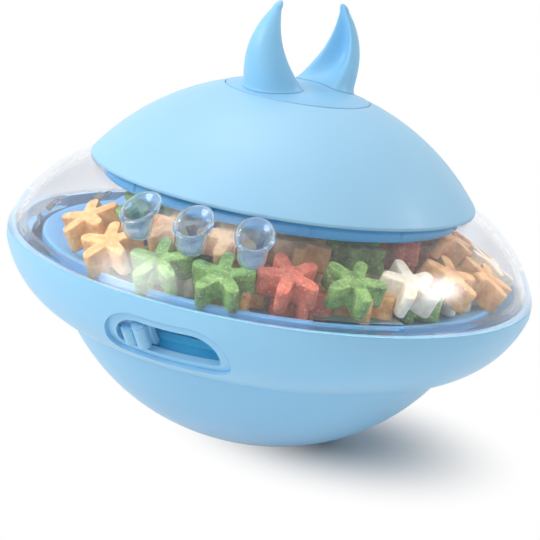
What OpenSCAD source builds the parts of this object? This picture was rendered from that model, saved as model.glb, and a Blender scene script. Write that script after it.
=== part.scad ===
// Tumbler treat ball: weighted base with an outlet slot and sliding gate, clear twist-lock cover,
// lift-off domed lid with two soft horns. Millimetres, +Z up, outlet slot centred on -Y.
// Azimuths are measured from -Y towards +X.

/* [Base shell] */
// Radius of the body at the seam
body_r = 60; // [50:0.5:70]
// Height of the seam above the floor
seam_z = 40.5; // [38:0.5:46]
// Radius of the flat foot
foot_r = 15.2; // [12:0.2:18]
// Radius of the crease ring between lower and upper bowl
crease_r = 44.3; // [42:0.1:46]
// Height of the crease ring
crease_z = 22.7; // [21:0.1:24]
// Bulge of the lower bowl over its chord
lower_bulge = 3.6; // [2.5:0.1:4.5]
// Bulge of the upper bowl over its chord
upper_bulge = 2.9; // [2.4:0.1:3.4]
// Straight band under the seam
rim_h = 2.2; // [1.5:0.1:2.6]
// Wall of the base
base_wall = 2.4; // [2:0.1:2.8]

/* [Outlet] */
// Length of the outlet slot
slot_l = 23.2; // [21:0.2:25]
// Width of the outlet slot along the wall
slot_h = 8.6; // [8:0.1:9.2]
// Drop of the slot's centre below the seam
slot_drop = 10; // [9.6:0.1:10.6]
// Radius of the slot's upper corners
slot_round = 6; // [4:0.2:6.6]
// Radius of the slot's lower corners
slot_corner = 1.6; // [1:0.1:2.5]
// Width of the recessed border round the slot
slot_border = 2.4; // [1.5:0.1:3]
// Depth of the recessed border
slot_recess = 0.9; // [0.5:0.1:1.2]
// Thickness of the gate
gate_t = 1.5; // [1.2:0.1:1.8]
// Length of the gate round the wall, in degrees
gate_angle = 26; // [25:0.5:28]
// Travel of the gate, in degrees round the axis
gate_travel = 13; // [11:0.5:13]
// Margin of the gate over the slot's long edges
gate_lap = 1.1; // [0.9:0.1:1.3]
// Radius of the thumb ribs
rib_r = 1.5; // [1.2:0.1:1.7]

/* [Chute and hood] */
// Wall of the chute and its rails
chute_wall = 1.5; // [1.2:0.1:1.8]
// Depth of the chute's floor below the seam
chute_floor = 9.9; // [9.6:0.1:10.4]
// Azimuth of the hood on the tray
hood_az = -59; // [-63:1:-55]
// Distance of the hood's centre inside the tray's edge
hood_inset = 22.8; // [21:0.2:24]
// Outer width of the hood
hood_w = 16; // [14:0.5:17]
// Height of the hood
hood_h = 12; // [10:0.5:13]
// Length of the hood
hood_len = 10; // [8:0.5:12]
// Diameter of the rounded bar round the hood's mouth
hood_bar = 4.2; // [3.6:0.2:5]

/* [Tray and weight] */
// Depth of the tray's floor below the seam
tray_drop = 2.3; // [2:0.1:2.6]
// Wall of the tray
tray_t = 1.6; // [1.4:0.1:1.8]
// Rise of the tray's cone from edge to centre
tray_rise = 2; // [1.5:0.1:3]
// Width of the tray's sloping rim
tray_rim_w = 6.5; // [5:0.1:8]
// Height of the rim over the tray's floor
tray_rim_h = 1.4; // [1:0.1:1.6]
// Height of the weight above the base's floor
weight_h = 9.6; // [7:0.2:11]

/* [Cover] */
// Height of the lid's edge above the seam
cover_h = 17.5; // [16:0.1:19]
// Bulge of the cover over its chord
cover_bulge = 2.6; // [2.2:0.1:3]
// Wall of the clear cover
cover_wall = 2.2; // [1.8:0.1:2.6]
// Turn from locked to open, in degrees
lock_turn = 33; // [30:1:36]
// Width of a bayonet hook, in degrees
hook_angle = 20; // [14:1:22]
// Width of the ledges that hold the hooks
ledge_w = 3.2; // [2.8:0.1:3.6]
// Radius of a porthole's flange
port_r = 4.6; // [4.2:0.1:5]
// Depth of a porthole cup
port_depth = 5.3; // [4.5:0.1:6]
// Angle between the portholes
port_step = 15; // [14:0.5:18]

/* [Lid] */
// Radius of the dome's edge
lid_r = 43.7; // [42:0.1:45]
// Height of the dome's top above the seam
lid_top = 40.4; // [39:0.1:43]
// Wall of the dome
lid_wall = 2.2; // [1.8:0.1:2.6]
// Height of the band that plugs into the cover
ring_h = 4.1; // [3:0.1:5]
// Radius of the round plate under the horns
plate_r = 16.3; // [15.5:0.1:18]
// Depth of the plate's seat below the dome's top
plate_sink = 4.5; // [4:0.1:5]

/* [Horns] */
// Azimuth of the left horn
horn_az = -24; // [-60:1:0]
// Distance of a horn from the axis
horn_dist = 7.3; // [7:0.1:8]
// Height of a horn above the plate
horn_h = 19.7; // [18:0.1:24]
// Half the width of a horn at its root
horn_w = 7; // [6:0.1:7.2]
// Outward sway of a horn
horn_sway = 4.7; // [3:0.1:5]

/* [Clearances] */
// Gap between moving pieces
run_gap = 0.3; // [0.25:0.05:0.35]
// Gap round stems and screws
fit_gap = 0.1; // [0.05:0.05:0.15]

/* [Hidden] */
$fn = 96;
shell_blue = [0.69, 0.87, 0.98];
deep_blue = [0.35, 0.62, 0.82];
horn_blue = [0.50, 0.79, 0.98];
clear_grey = [0.88, 0.89, 0.90, 0.35];
steel_grey = [0.62, 0.63, 0.65];

// Arcs: radius and centre of the arc that bulges to the right of the chord from p up to q
function arc_radius(p, q, bulge) = (pow(norm(q - p), 2) / 4 + bulge * bulge) / (2 * bulge);
function chord_normal(p, q) = [q[1] - p[1], p[0] - q[0]] / norm(q - p);
function arc_centre(p, q, bulge) = (p + q) / 2 - chord_normal(p, q) * (arc_radius(p, q, bulge) - bulge);
function angle_at(c, p) = atan2(p[1] - c[1], p[0] - c[0]);
function polar(c, r, a) = c + r * [cos(a), sin(a)];
function arc_points(c, r, a0, a1, n = 20) = [for (i = [0 : n]) polar(c, r, a0 + (a1 - a0) * i / n)];

// Bowls of the base
foot_p = [foot_r, 0];
crease_p = [crease_r, crease_z];
rim_p = [body_r, seam_z - rim_h];
low_c = arc_centre(foot_p, crease_p, lower_bulge);
low_r = arc_radius(foot_p, crease_p, lower_bulge);
up_c = arc_centre(crease_p, rim_p, upper_bulge);
up_r = arc_radius(crease_p, rim_p, upper_bulge);
floor_t = base_wall;
rim_in = body_r - base_wall;
low_in = low_r - base_wall;
up_in = up_r - base_wall;

// Places on the upper bowl's wall, as angles about its arc centre
slot_a = asin((seam_z - slot_drop - up_c[1]) / up_r);
slot_p = polar(up_c, up_r, slot_a);
slot_half_a = slot_h / 2 / up_r * 180 / PI;
gate_out = up_in - run_gap;
gate_in = gate_out - gate_t;
lap_a = gate_lap / gate_out * 180 / PI;
gate_a0 = slot_a - slot_half_a - lap_a;
gate_a1 = slot_a + slot_half_a + lap_a;
rail_out = gate_in - run_gap;
rail_in = rail_out - chute_wall;
rail_gap_a = run_gap / gate_out * 180 / PI;
shelf_a = 2.2;
mm_per_deg = slot_p[0] * PI / 180;

// Gate at rest, open: its thumb ribs stand at the slot's left end and stay inside the slot as they travel
rib_gap = 0.5;
rib_sink = 0.3;
rib_pitch = 2 * rib_r + 0.2;
rib_left_x = -slot_l / 2 + rib_r + 2 * rib_gap;
rib_x = [rib_left_x, rib_left_x + rib_pitch];
rib_foot = -slot_h / 2 + 2 * rib_gap;
function slot_top(x) = slot_h / 2 - slot_round
  + sqrt(pow(slot_round, 2) - pow(max(0, abs(x) - slot_l / 2 + slot_round), 2));
function rib_head(x) = min(slot_top(x - rib_r), slot_top(x + gate_travel * mm_per_deg + rib_r)) - rib_gap;
gate_az1 = (rib_x[1] + rib_r + rib_gap) / mm_per_deg;
gate_az0 = gate_az1 - gate_angle;

// Bayonet: hooks on the cover, ledges on the base
hook_az = [40, 160, 280];
hook_t = 1.4;
hook_gap = 0.4;
ledge_in = rim_in - ledge_w;
hook_in = ledge_in - hook_gap - hook_t;
ledge_drop = 1.4;
ledge_top = seam_z - ledge_drop;
ledge_t = 1.2;
lug_top = ledge_top - ledge_t - run_gap;
lug_t = 1.5;
lug_out = polar(up_c, up_in, asin((lug_top - lug_t - up_c[1]) / up_in))[0] - hook_gap;
web_t = 1.7;
lip_depth = 1;
lip_w = 1.5;
stop_angle = 2.5;

// Tray, clear of the hooks, and the hood on it
tray_gap = 0.6;
tray_r = hook_in - tray_gap;
tray_z = seam_z - tray_drop;
tray_floor_r = tray_r - tray_rim_w;
tray_lip_h = 0.6;
tray_lip_w = 1.6;
hood_dist = tray_r - hood_inset;
hood_p = hood_dist * [sin(hood_az), -cos(hood_az)];
hood_wall = 3;
hood_back = 2;
drop_margin = 0.4;
drop_r = hood_w / 2 - hood_wall - drop_margin;
drop_p = hood_p + [0, hood_len / 2 - hood_back - drop_r];
pad_margin = 0.5;
pad_r = norm([hood_w, hood_len + hood_bar]) / 2 + pad_margin;
pad_z = tray_top(hood_dist - pad_r) + pad_margin;
function tray_top(r) = tray_z + tray_rise * (1 - r / tray_floor_r);

// Chute, posts and screws
end_wall_a = 1.6;
end_gap_a = 1.4;
hood_half_a = 18;
rail_az0 = gate_az0 - end_gap_a - end_wall_a / 2;
chute_az0 = hood_az - hood_half_a;
chute_az1 = max(slot_l / 2 / mm_per_deg, gate_az1 + gate_travel) + end_wall_a + end_gap_a;
chute_side = 1;
chute_play = 0.9;
chute_top = tray_z - tray_t - chute_play;
chute_in_r = hood_dist - drop_r - chute_wall - chute_side;
chute_out_r = polar(up_c, rail_out, gate_a0)[0];
tab_angle = 7;
tab_r = (chute_in_r + chute_out_r) / 2;
tab_half = 4;
tab_gap = 1.2;
chute_post_az = [chute_az0 - tab_angle / 2 - tab_gap, chute_az1 + tab_angle / 2 + tab_gap];
tray_post_az = [96, 168, 240];
tray_post_r = 40;
post_r = 3.2;
screw_r = 1.4;
screw_head_r = 2.9;
screw_head_h = 1.8;
screw_len = 8;
pilot_r = screw_r + fit_gap;

// Weight
boss_r = 4;
weight_top = floor_t + weight_h;
weight_head_r = 7;
weight_head_h = 2;

// Cover: outer arc from the seam to the lid's edge, carried on to the neck
cover_z = seam_z + run_gap;
cover_p = [body_r, cover_z];
lid_p = [lid_r, seam_z + cover_h];
cov_c = arc_centre(cover_p, lid_p, cover_bulge);
cov_r = arc_radius(cover_p, lid_p, cover_bulge);
cov_in = cov_r - cover_wall;
neck_inset = 2.1;
neck_r = lid_r - neck_inset;
neck_top = cov_c[1] + sqrt(cov_r * cov_r - pow(neck_r - cov_c[0], 2));

// Portholes
port_az = [-port_step, 0, port_step];
port_drop = 3;
port_z = seam_z + cover_h - port_drop;
port_d = cov_c[0] + sqrt(cov_r * cov_r - pow(port_z - cov_c[1], 2));
port_tilt = 90 - angle_at(cov_c, [port_d, port_z]);
stem_r = 3.4;
pocket_r = 2.6;
flange_t = 0.9;
flange_seat = 0.05;

// Lid
dome_edge = 1;
dome_rise = lid_top - cover_h - dome_edge;
dome_r = (lid_r * lid_r + dome_rise * dome_rise) / (2 * dome_rise);
dome_c = [0, seam_z + lid_top - dome_r];
seat_gap = 0.35;
lid_seat = neck_top + seat_gap;
ring_gap = 0.8;
ring_t = 2.2;
ring_out = neck_r - ring_gap;
ring_in = ring_out - ring_t;
spigot_step = 0.2;
spigot_out = ring_in - spigot_step - fit_gap;
spigot_t = 1.4;
spigot_h = 2.4;
crush_count = 12;
crush_r = 0.45;
plate_seat = seam_z + lid_top - plate_sink;
ceiling = plate_seat - lid_wall;
plate_proud = 0.1;
plate_gap = 0.15;
plate_bevel = 0.15;
horn_stem_r = 3;
horn_stem_back = 1.6;
clamp_t = 2.2;
clamp_r = plate_r - 1;
barb_r = 4.5;
barb_h = 1.8;
clamp_screw_d = 9;
clamp_screw_len = clamp_t + plate_seat - ceiling + plate_sink / 2.5;

module base_outer() {
  rotate_extrude()
    polygon(concat([[0, 0]],
      arc_points(low_c, low_r, angle_at(low_c, foot_p), angle_at(low_c, crease_p)),
      arc_points(up_c, up_r, angle_at(up_c, crease_p), angle_at(up_c, rim_p)),
      [[body_r, seam_z], [0, seam_z]]));
}

module base_cavity() {
  low_a0 = asin((floor_t - low_c[1]) / low_in);
  low_top = crease_z + base_wall;
  low_a1 = asin((low_top - low_c[1]) / low_in);
  up_a0 = -80;
  up_a1 = -acos((rim_in - up_c[0]) / up_in);
  rotate_extrude()
    polygon(concat([[0, floor_t]], arc_points(low_c, low_in, low_a0, low_a1), [[0, low_top]]));
  rotate_extrude()
    polygon(concat([[0, polar(up_c, up_in, up_a0)[1]]], arc_points(up_c, up_in, up_a0, up_a1),
      [[rim_in, seam_z + 1], [0, seam_z + 1]]));
}

// Part of a body that turns round the axis, between two azimuths
module swept(az0, az1) {
  rotate([0, 0, az0 - 90])
    rotate_extrude(angle = az1 - az0)
      children();
}

// Strip parallel to the upper bowl's wall
module wall_strip(r0, r1, a0, a1, az0, az1) {
  swept(az0, az1)
    polygon(concat(arc_points(up_c, r0, a0, a1, 10), arc_points(up_c, r1, a1, a0, 10)));
}

// Places children on the outside of the upper bowl, Y up the wall and Z outwards
module on_wall(az) {
  rotate([0, 0, az])
    translate([0, -slot_p[0], slot_p[1]])
      rotate([90 - slot_a, 0, 0])
        children();
}

// Rectangle from y0 to y1 with its two corners at y1 rounded
module round_end(l, y0, y1, r) {
  side = y1 > y0 ? 1 : -1;
  intersection() {
    translate([-l / 2, min(y0, y1)])
      square([l, abs(y1 - y0)]);
    union() {
      for (s = [-1, 1])
        translate([s * (l / 2 - r), y1 - side * r])
          circle(r = r);
      translate([-l / 2 + r, min(y0, y1) - 1])
        square([l - 2 * r, abs(y1 - y0) + 2]);
      translate([-l / 2 - 1, side > 0 ? y0 - 1 : y1 + r])
        square([l + 2, abs(y1 - y0) - r + 1]);
    }
  }
}

// The slot: wide round corners above, tight corners below
module slot_shape(grow) {
  l = slot_l + 2 * grow;
  half = slot_h / 2 + grow;
  intersection() {
    round_end(l, -half, half, slot_round + grow);
    round_end(l, half, -half, slot_corner + grow);
  }
}

module slot_cutter(grow) {
  on_wall(0)
    translate([0, 0, -2 * base_wall])
      linear_extrude(4 * base_wall)
        slot_shape(grow);
}

module at_polar(az, r, z) {
  rotate([0, 0, az])
    translate([0, -r, z])
      children();
}

module pan_screw(head_r, head_h, shank_r, len) {
  difference() {
    cylinder(r = head_r, h = head_h);
    for (a = [0, 90])
      rotate([0, 0, a])
        translate([0, 0, head_h])
          cube([head_r * 1.2, head_r * 0.28, head_h], center = true);
  }
  translate([0, 0, -len])
    cylinder(r = shank_r, h = len + head_h / 4);
}

module base_posts() {
  for (az = tray_post_az)
    at_polar(az, tray_post_r, 0)
      cylinder(r = post_r, h = tray_under(tray_post_r));
  for (az = chute_post_az)
    at_polar(az, tab_r, 0)
      cylinder(r = post_r, h = seam_z - chute_floor - chute_wall);
}

function tray_under(r) = tray_top(r + post_r) - tray_t;

module base_ledges() {
  half = hook_angle / 2;
  for (az = hook_az) {
    swept(az - half - stop_angle - 1, az + lock_turn - half - 1)
      translate([ledge_in, ledge_top - ledge_t])
        square([rim_in - ledge_in + 1, ledge_t]);
    swept(az - half - 0.5 - stop_angle, az - half - 0.5)
      translate([ledge_in + 0.3, lug_top - lug_t])
        square([rim_in - ledge_in + 0.7, ledge_top - lug_top + lug_t - ledge_t / 2]);
  }
}

module base_shell() {
  color(shell_blue)
    difference() {
      union() {
        difference() {
          base_outer();
          base_cavity();
        }
        intersection() {
          base_outer();
          union() {
            base_posts();
            base_ledges();
            cylinder(r = boss_r, h = weight_top - run_gap);
          }
        }
      }
      translate([0, 0, floor_t + 1])
        cylinder(r = pilot_r, h = weight_h);
      for (az = tray_post_az)
        at_polar(az, tray_post_r, tray_under(tray_post_r) - screw_len)
          cylinder(r = pilot_r, h = screw_len + 1);
      for (az = chute_post_az)
        at_polar(az, tab_r, seam_z - chute_floor - chute_wall - screw_len)
          cylinder(r = pilot_r, h = screw_len + 1);
      slot_cutter(0);
      intersection() {
        slot_cutter(slot_border);
        wall_strip(up_r - slot_recess, up_r + base_wall, slot_a - 3 * slot_half_a, slot_a + 3 * slot_half_a,
          -slot_l / mm_per_deg, slot_l / mm_per_deg);
      }
    }
}

module counterweight() {
  arc_r = low_in - run_gap;
  a0 = asin((floor_t - low_c[1]) / arc_r);
  a1 = asin((weight_top - low_c[1]) / arc_r);
  color(steel_grey)
    difference() {
      rotate_extrude()
        polygon(concat([[0, floor_t]], arc_points(low_c, arc_r, a0, a1, 12), [[0, weight_top]]));
      translate([0, 0, -1])
        cylinder(r = boss_r + run_gap, h = weight_top + 2);
    }
}

module weight_screw() {
  color(steel_grey)
    translate([0, 0, weight_top])
      pan_screw(weight_head_r, weight_head_h, screw_r, screw_len);
}

module outlet_gate() {
  color(deep_blue) {
    wall_strip(gate_in, gate_out, gate_a0, gate_a1, gate_az0, gate_az1);
    for (x = rib_x)
      on_wall(x / mm_per_deg)
        translate([0, (rib_head(x) + rib_foot) / 2, -rib_sink - rib_r])
          rotate([90, 0, 0])
            cylinder(r = rib_r, h = rib_head(x) - rib_foot, center = true);
  }
}

// Cross-section of the chute's floor and back wall
module channel_section() {
  z0 = seam_z - chute_floor - chute_wall;
  z1 = tray_z - tray_t - 0.5;
  out = chute_out_r - 0.4;
  back = chute_in_r + chute_wall;
  polygon([[chute_in_r, z0], [out, z0], [out, z0 + chute_wall], [back, z0 + chute_wall], [back, z1],
    [chute_in_r, z1]]);
}

// Cross-section of a wall that stands across the channel, below the tray, and ends inside the rails
module rail_section(r0) {
  z0 = seam_z - chute_floor - 0.6 * chute_wall;
  arc = arc_points(up_c, (rail_in + rail_out) / 2, gate_a0 - 0.5 * shelf_a, gate_a1 + 0.4 * shelf_a, 10);
  top = arc[len(arc) - 1];
  polygon(concat([[r0, z0], [arc[0][0] - 0.3, z0]], arc, [[top[0] - 1.4, chute_top], [r0, chute_top]]));
}

// Rail along one long edge of the gate, with a shelf that reaches to the base's wall
module rail(edge_a, gate_a, side, root) {
  swept(rail_az0, chute_az1 - 0.15)
    polygon(concat(
      arc_points(up_c, rail_in, gate_a + side * shelf_a, edge_a, 6),
      arc_points(up_c, rail_out, edge_a, gate_a + side * rail_gap_a, 6),
      arc_points(up_c, gate_out, gate_a + side * rail_gap_a, gate_a + side * shelf_a, 2), root));
}

module outlet_chute() {
  z_floor = seam_z - chute_floor;
  color(deep_blue)
    difference() {
      union() {
        swept(chute_az0, chute_az1)
          channel_section();
        swept(chute_az0 + 0.2, rail_az0 + end_wall_a)
          translate([chute_out_r - chute_wall, z_floor - 0.6])
            square([chute_wall, chute_top - z_floor + 0.35]);
        swept(chute_az0 + 0.4, chute_az0 + 0.4 + end_wall_a)
          translate([chute_in_r + 0.5, z_floor - 0.4])
            square([chute_out_r - chute_in_r - 1, chute_top - z_floor + 0.2]);
        swept(rail_az0 + 0.3, rail_az0 + 0.3 + end_wall_a)
          rail_section(chute_out_r - chute_wall / 2);
        swept(chute_az1 - 0.3 - end_wall_a, chute_az1 - 0.3)
          rail_section(chute_in_r + chute_wall / 2);
        rail(slot_a - slot_half_a, gate_a0, -1, [[chute_out_r - 2.2, z_floor - chute_wall / 2]]);
        rail(slot_a + slot_half_a, gate_a1, 1, []);
        for (az = chute_post_az)
          swept(az - tab_angle / 2 - tab_gap - 1, az + tab_angle / 2 + tab_gap + 1)
            translate([tab_r - tab_half, z_floor - chute_wall + fit_gap])
              square([2 * tab_half, chute_wall - 0.2 - fit_gap]);
      }
      for (az = chute_post_az)
        at_polar(az, tab_r, z_floor - 2 * chute_wall)
          cylinder(r = pilot_r, h = 3 * chute_wall);
    }
}

module chute_screws() {
  color(steel_grey)
    for (az = chute_post_az)
      at_polar(az, tab_r, seam_z - chute_floor - 0.2)
        pan_screw(screw_head_r, screw_head_h, screw_r, screw_len);
}

module treat_tray() {
  rim_z = tray_z + tray_rim_h;
  color(deep_blue)
    difference() {
      union() {
        rotate_extrude()
          polygon([[0, tray_top(0) - tray_t], [tray_floor_r, tray_z - tray_t],
            [tray_r - tray_lip_w, rim_z - tray_t], [tray_r, rim_z - tray_t], [tray_r, rim_z + tray_lip_h / 2],
            [tray_r - tray_lip_w / 4, rim_z + tray_lip_h], [tray_r - tray_lip_w * 3 / 4, rim_z + tray_lip_h],
            [tray_floor_r, tray_z], [0, tray_top(0)]]);
        translate([hood_p[0], hood_p[1], tray_z])
          cylinder(r = pad_r, h = pad_z - tray_z);
        for (az = tray_post_az)
          at_polar(az, tray_post_r, tray_under(tray_post_r))
            cylinder(r = screw_head_r + 0.6, h = tray_screw_seat() - tray_under(tray_post_r));
      }
      translate([drop_p[0], drop_p[1], tray_z - 2 * tray_t])
        cylinder(r = drop_r, h = 4 * tray_t + tray_rise);
      for (az = tray_post_az)
        at_polar(az, tray_post_r, 0)
          cylinder(r = pilot_r, h = seam_z + 3 * tray_t + tray_rise);
    }
}

function tray_screw_seat() = tray_top(tray_post_r - post_r) + 0.4;

module tray_screws() {
  grip = tray_screw_seat() - tray_under(tray_post_r);
  color(steel_grey)
    for (az = tray_post_az)
      at_polar(az, tray_post_r, tray_screw_seat())
        pan_screw(screw_head_r, screw_head_h, screw_r, grip + screw_len - 1);
}

module arch(w, h) {
  translate([-w / 2, 0])
    square([w, h - w / 2]);
  intersection() {
    translate([0, h - w / 2])
      circle(d = w);
    translate([-w / 2, 0])
      square([w, h]);
  }
}

module outlet_hood() {
  bar_ring = (hood_w - hood_bar) / 2;
  color(deep_blue)
    translate([hood_p[0], hood_p[1], pad_z + fit_gap]) {
      difference() {
        rotate([90, 0, 0])
          linear_extrude(hood_len, center = true)
            arch(hood_w - 1, hood_h - 0.5);
        translate([0, -hood_back, -0.01])
          rotate([90, 0, 0])
            linear_extrude(hood_len, center = true)
              arch(hood_w - 2 * hood_wall, hood_h - hood_wall);
      }
      translate([0, -hood_len / 2, hood_h - hood_w / 2])
        rotate([90, 0, 0])
          rotate_extrude(angle = 180)
            translate([bar_ring, 0])
              circle(d = hood_bar);
      for (s = [-1, 1])
        translate([s * bar_ring, -hood_len / 2, 0])
          cylinder(d = hood_bar, h = hood_h - hood_w / 2);
    }
}

module hook() {
  swept(-hook_angle / 2, hook_angle / 2)
    polygon([[hook_in, lug_top - lug_t], [lug_out, lug_top - lug_t], [lug_out, lug_top],
      [hook_in + hook_t, lug_top], [hook_in + hook_t, cover_z], [body_r - 1.2, cover_z],
      [body_r - 1.2, cover_z + web_t], [hook_in, cover_z + web_t]]);
}

module clear_cover() {
  lip_out = rim_in - run_gap;
  color(clear_grey)
    difference() {
      union() {
        rotate_extrude()
          polygon(concat(
            arc_points(cov_c, cov_r, angle_at(cov_c, cover_p), acos((neck_r - cov_c[0]) / cov_r)),
            arc_points(cov_c, cov_in, acos((neck_r - cov_c[0]) / cov_in),
              asin((cover_z - cov_c[1]) / cov_in))));
        rotate_extrude()
          translate([lip_out - lip_w, seam_z - lip_depth])
            square([lip_w, lip_depth + run_gap + 1]);
        for (az = hook_az)
          rotate([0, 0, az])
            hook();
      }
      for (az = port_az)
        at_polar(az, port_d, port_z - 2 * port_depth)
          cylinder(r = stem_r + 2 * fit_gap, h = 4 * port_depth);
    }
}

// Upright rod with a round lower end
module round_rod(r, z0, z1) {
  rotate_extrude() {
    translate([0, z0])
      square([r, z1 - z0]);
    intersection() {
      translate([0, z0])
        circle(r = r);
      translate([0, z0 - r])
        square([r, r]);
    }
  }
}

// Clear cup: flange on the cover's slope, upright stem, open pocket
module porthole(az) {
  stem_bottom = stem_r - port_depth;
  color(clear_grey)
    at_polar(az, port_d, port_z)
      difference() {
        union() {
          rotate([port_tilt, 0, 0])
            translate([0, 0, flange_seat])
              cylinder(r = port_r, h = flange_t);
          intersection() {
            round_rod(stem_r, stem_bottom, 2 * port_depth);
            rotate([port_tilt, 0, 0])
              translate([0, 0, flange_seat + flange_t / 2 - 3 * port_depth])
                cylinder(r = 3 * port_r, h = 3 * port_depth);
          }
        }
        round_rod(pocket_r, stem_bottom, 3 * port_depth);
      }
}

module porthole_left() porthole(port_az[0]);
module porthole_middle() porthole(port_az[1]);
module porthole_right() porthole(port_az[2]);

module at_horns(side) {
  rotate([0, 0, horn_az + (side > 0 ? 180 : 0)])
    translate([0, -horn_dist, 0])
      children();
}

module at_stems() {
  for (side = [-1, 1])
    at_horns(side)
      translate([0, -horn_stem_back, 0])
        children();
}

module at_clamp_screws() {
  for (s = [90, 270])
    at_polar(horn_az + s, clamp_screw_d, 0)
      children();
}

module dome_lid() {
  inner_r = dome_r - lid_wall;
  seat_in = ring_in - spigot_step;
  lip_in = neck_r + 0.4;
  dome_a0 = angle_at(dome_c, [lid_r, seam_z + cover_h + dome_edge]);
  seat_a = acos(seat_in / inner_r);
  ceil_a = asin((ceiling - dome_c[1]) / inner_r);
  recess_r = plate_r + plate_gap;
  edge_z = cov_c[1] + sqrt(cov_r * cov_r - pow(lid_r - cov_c[0], 2)) + seat_gap;
  color(shell_blue)
    difference() {
      rotate_extrude()
        polygon(concat([[lid_r, edge_z]], arc_points(dome_c, dome_r, dome_a0, acos(recess_r / dome_r), 28),
          [[recess_r, plate_seat], [0, plate_seat], [0, ceiling]],
          arc_points(dome_c, inner_r, ceil_a, seat_a, 20),
          [[seat_in, lid_seat], [lip_in, lid_seat]]));
      at_stems()
        translate([0, 0, ceiling - 1])
          cylinder(r = horn_stem_r + fit_gap, h = plate_seat - ceiling + 2);
      at_clamp_screws()
        translate([0, 0, ceiling - 1])
          cylinder(r = pilot_r, h = plate_seat - ceiling + 2);
    }
}

module lid_ring() {
  color(deep_blue) {
    rotate_extrude()
      polygon([[ring_in, lid_seat - ring_h], [ring_out - 0.4, lid_seat - ring_h],
        [ring_out, lid_seat - ring_h + 0.6], [ring_out, lid_seat], [spigot_out, lid_seat],
        [spigot_out, lid_seat + spigot_h], [spigot_out - spigot_t, lid_seat + spigot_h],
        [spigot_out - spigot_t, lid_seat - 1.4]]);
    for (i = [0 : crush_count - 1])
      at_polar(i * 360 / crush_count, ring_out, lid_seat - ring_h + 0.8)
        cylinder(r = crush_r, h = ring_h - 0.8, $fn = 24);
  }
}

module horn_plate() {
  top_r = dome_r + plate_proud;
  color(horn_blue)
    difference() {
      rotate_extrude()
        polygon(concat([[0, plate_seat], [plate_r, plate_seat],
            [plate_r, dome_c[1] + sqrt(top_r * top_r - plate_r * plate_r) - plate_bevel]],
          arc_points(dome_c, top_r, acos((plate_r - plate_bevel) / top_r), 90, 16)));
      at_stems()
        translate([0, 0, plate_seat - 1])
          cylinder(r = horn_stem_r + fit_gap, h = 2 * plate_sink);
      at_clamp_screws()
        translate([0, 0, plate_seat - 1])
          cylinder(r = pilot_r, h = 1 + plate_sink / 2);
    }
}

// Horn: rings that taper and sway outwards, scooped on the side that faces the other horn.
// Local X runs round, Y towards the axis and Z up. Rows of the root lie on the plate, rows above it rise by t.
horn_row_count = 20;
horn_side_count = 32;
root_row_count = 4;
function horn_half(t) = horn_w * pow(1 - t, 0.78);
function horn_shift(t) = horn_sway * sin(148 * t);
function horn_scoop(t) = (0.4 + 0.85 * pow(sin(180 * t), 0.8)) * pow(1 - t, 0.3);
function horn_section(t, a) = sin(a) > 0 ? 0.62 * sin(a) - horn_scoop(t) * pow(sin(a), 4) : 1.04 * sin(a);
function horn_root(x, y) = dome_c[1] + sqrt(pow(dome_r + plate_proud, 2) - x * x - pow(y - horn_dist, 2))
  + fit_gap / 2;
function tip_z() = seam_z + lid_top + horn_h;
function horn_point(share, t, a) =
  let (w = horn_half(t), x = share * w * cos(a), y = share * w * horn_section(t, a) - horn_shift(t))
    [x, y, (1 - t) * horn_root(x, y) + t * tip_z()];
function horn_row(share, t) =
  [for (j = [0 : horn_side_count - 1]) horn_point(share, t, 360 * j / horn_side_count)];

module horn_body() {
  n = horn_side_count;
  rows = concat([for (i = [1 : root_row_count]) horn_row(i / root_row_count, 0)],
    [for (i = [1 : horn_row_count]) horn_row(1, 0.97 * i / horn_row_count)]);
  last = (len(rows) - 1) * n + 1;
  pts = concat([[0, 0, horn_root(0, 0)]], [for (row = rows, p = row) p], [[0, -horn_shift(1), tip_z()]]);
  root = [for (j = [0 : n - 1]) [0, 1 + j, 1 + (j + 1) % n]];
  sides = [for (i = [0 : len(rows) - 2], j = [0 : n - 1], k = [0, 1])
    let (a = 1 + i * n + j, b = 1 + i * n + (j + 1) % n)
      k == 0 ? [a, a + n, b] : [b, a + n, b + n]];
  tip = [for (j = [0 : n - 1]) [len(pts) - 1, last + (j + 1) % n, last + j]];
  polyhedron(pts, concat(root, sides, tip));
}

module horn(side) {
  barb_z = ceiling - clamp_t - barb_h;
  color(horn_blue)
    at_horns(side) {
      horn_body();
      translate([0, -horn_stem_back, barb_z]) {
        cylinder(r = horn_stem_r, h = seam_z + lid_top - barb_z);
        cylinder(r1 = barb_r - 1, r2 = barb_r, h = barb_h);
      }
    }
}

module horn_left() horn(-1);
module horn_right() horn(1);

module horn_clamp() {
  color(shell_blue)
    difference() {
      translate([0, 0, ceiling - clamp_t])
        cylinder(r = clamp_r, h = clamp_t);
      at_stems()
        translate([0, 0, ceiling - clamp_t - 1])
          cylinder(r = horn_stem_r + fit_gap, h = clamp_t + 2);
      at_clamp_screws()
        translate([0, 0, ceiling - clamp_t - 1])
          cylinder(r = pilot_r, h = clamp_t + 2);
    }
}

module clamp_screws() {
  color(steel_grey)
    at_clamp_screws()
      translate([0, 0, ceiling - clamp_t])
        mirror([0, 0, 1])
          pan_screw(screw_head_r, screw_head_h, screw_r, clamp_screw_len);
}

base_shell();
counterweight();
weight_screw();
outlet_gate();
outlet_chute();
chute_screws();
treat_tray();
tray_screws();
outlet_hood();
clear_cover();
porthole_left();
porthole_middle();
porthole_right();
dome_lid();
lid_ring();
horn_plate();
horn_left();
horn_right();
horn_clamp();
clamp_screws();
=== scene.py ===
import math
import random

import bmesh
import bpy
from mathutils import Matrix, Quaternion, Vector


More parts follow.
